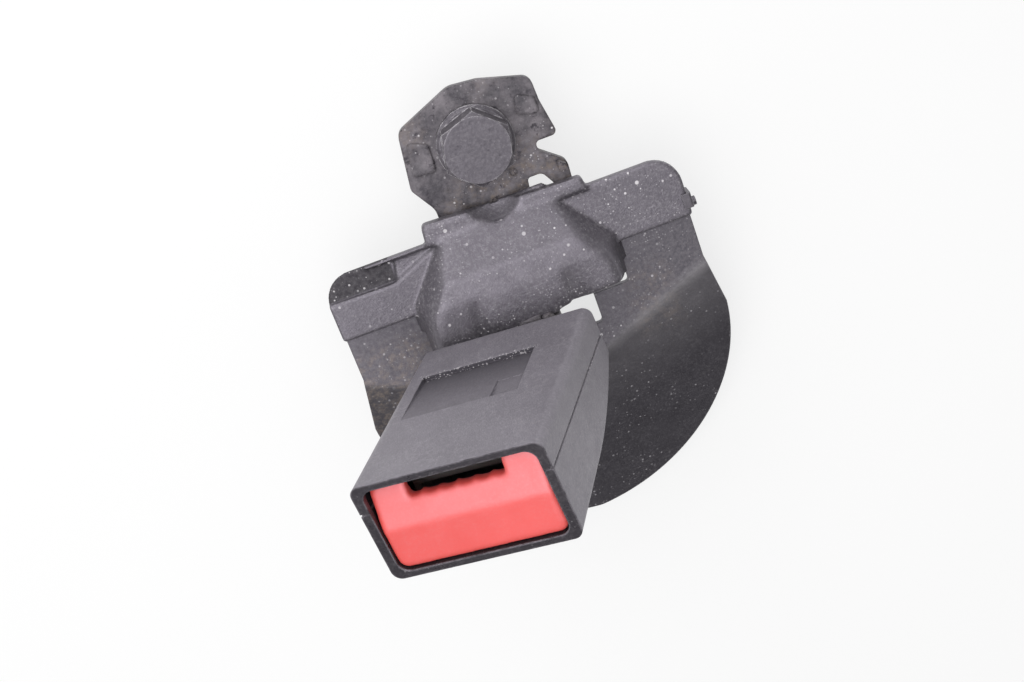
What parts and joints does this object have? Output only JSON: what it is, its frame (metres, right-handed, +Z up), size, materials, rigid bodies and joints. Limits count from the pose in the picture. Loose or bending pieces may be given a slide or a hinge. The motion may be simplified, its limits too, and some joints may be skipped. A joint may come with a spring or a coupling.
{
  "type": "seat belt buckle",
  "caption": "Seat belt buckle on a swivelling stalk, with a bolted floor bracket, guide hood, cover flap, spring latch, tongue ejector and red press-to-release button",
  "frame": {"origin": "on the anchor bolt's axis, where the bracket's underside meets the floor", "axes": "+Z up the bolt toward its head, +X along the guide bar, +Y away from the buckle past the bracket's free end"},
  "size_m": [0.108, 0.1401, 0.1261],
  "materials": {
    "coated_steel": "thin black dip coat, scuffed and dusty",
    "bolt_steel": "dark zinc plate, worn bright at the corners",
    "plated_steel": "plain plated steel",
    "spring_steel": "oiled spring wire",
    "black_plastic": "fine grained black moulding with dust",
    "pale_plastic": "grey nylon",
    "red_plastic": "faded red moulding, lightly scratched"
  },
  "bodies": {
    "anchor": {"anchor_bracket": "coated_steel", "guide_hood": "black_plastic", "floor_flap": "black_plastic", "guide_rivets": "bolt_steel", "end_clips": "spring_steel", "swivel_rivet": "bolt_steel", "swivel_washer": "pale_plastic"},
    "bolt": {"anchor_bolt": "bolt_steel", "retaining_washer": "pale_plastic"},
    "head": {"stalk": "coated_steel", "stalk_rivet": "bolt_steel", "buckle_frame": "plated_steel", "latch_pin": "spring_steel", "latch_spring": "spring_steel", "housing_front": "black_plastic", "housing_rear": "black_plastic", "tongue_guide": "pale_plastic", "ejector_spring": "spring_steel", "button_springs": "spring_steel"},
    "button": {"press_button": "red_plastic", "lock_bar": "spring_steel"},
    "ejector": {"ejector": "pale_plastic"},
    "latch": {"latch": "plated_steel"}
  },
  "joints": [
    {"name": "bolt_spin", "type": "hinge", "parent": "anchor", "child": "bolt", "pos_m": [0, 0, 0], "axis": [0, 0, 1], "continuous": true},
    {"name": "head_swivel", "type": "hinge", "parent": "anchor", "child": "head", "pos_m": [-0.0025, -0.0525, 0.009], "axis": [-0.0644, 0.9963, 0.0576], "range_deg": [0, 37.4]},
    {"name": "button_press", "type": "slide", "parent": "head", "child": "button", "axis": [0.3164, 0.0751, -0.9456], "range_m": [0, 0.005], "stiffness_N_per_m": 900, "springref_m": -0.004, "deforming": ["button_springs"]},
    {"name": "ejector_slide", "type": "slide", "parent": "head", "child": "ejector", "axis": [0.3164, 0.0751, -0.9456], "range_m": [0, 0.01], "stiffness_N_per_m": 400, "springref_m": -0.006, "deforming": ["ejector_spring"]},
    {"name": "latch_swing", "type": "hinge", "parent": "head", "child": "latch", "pos_m": [-0.01762, -0.0571, 0.05433], "axis": [-0.9464, -0.0427, -0.3201], "range_deg": [0, 12]}
  ],
  "couplings": [
    {"joint": "latch_swing", "follows": "ejector_slide", "rad_per_m": 20.9}
  ]
}
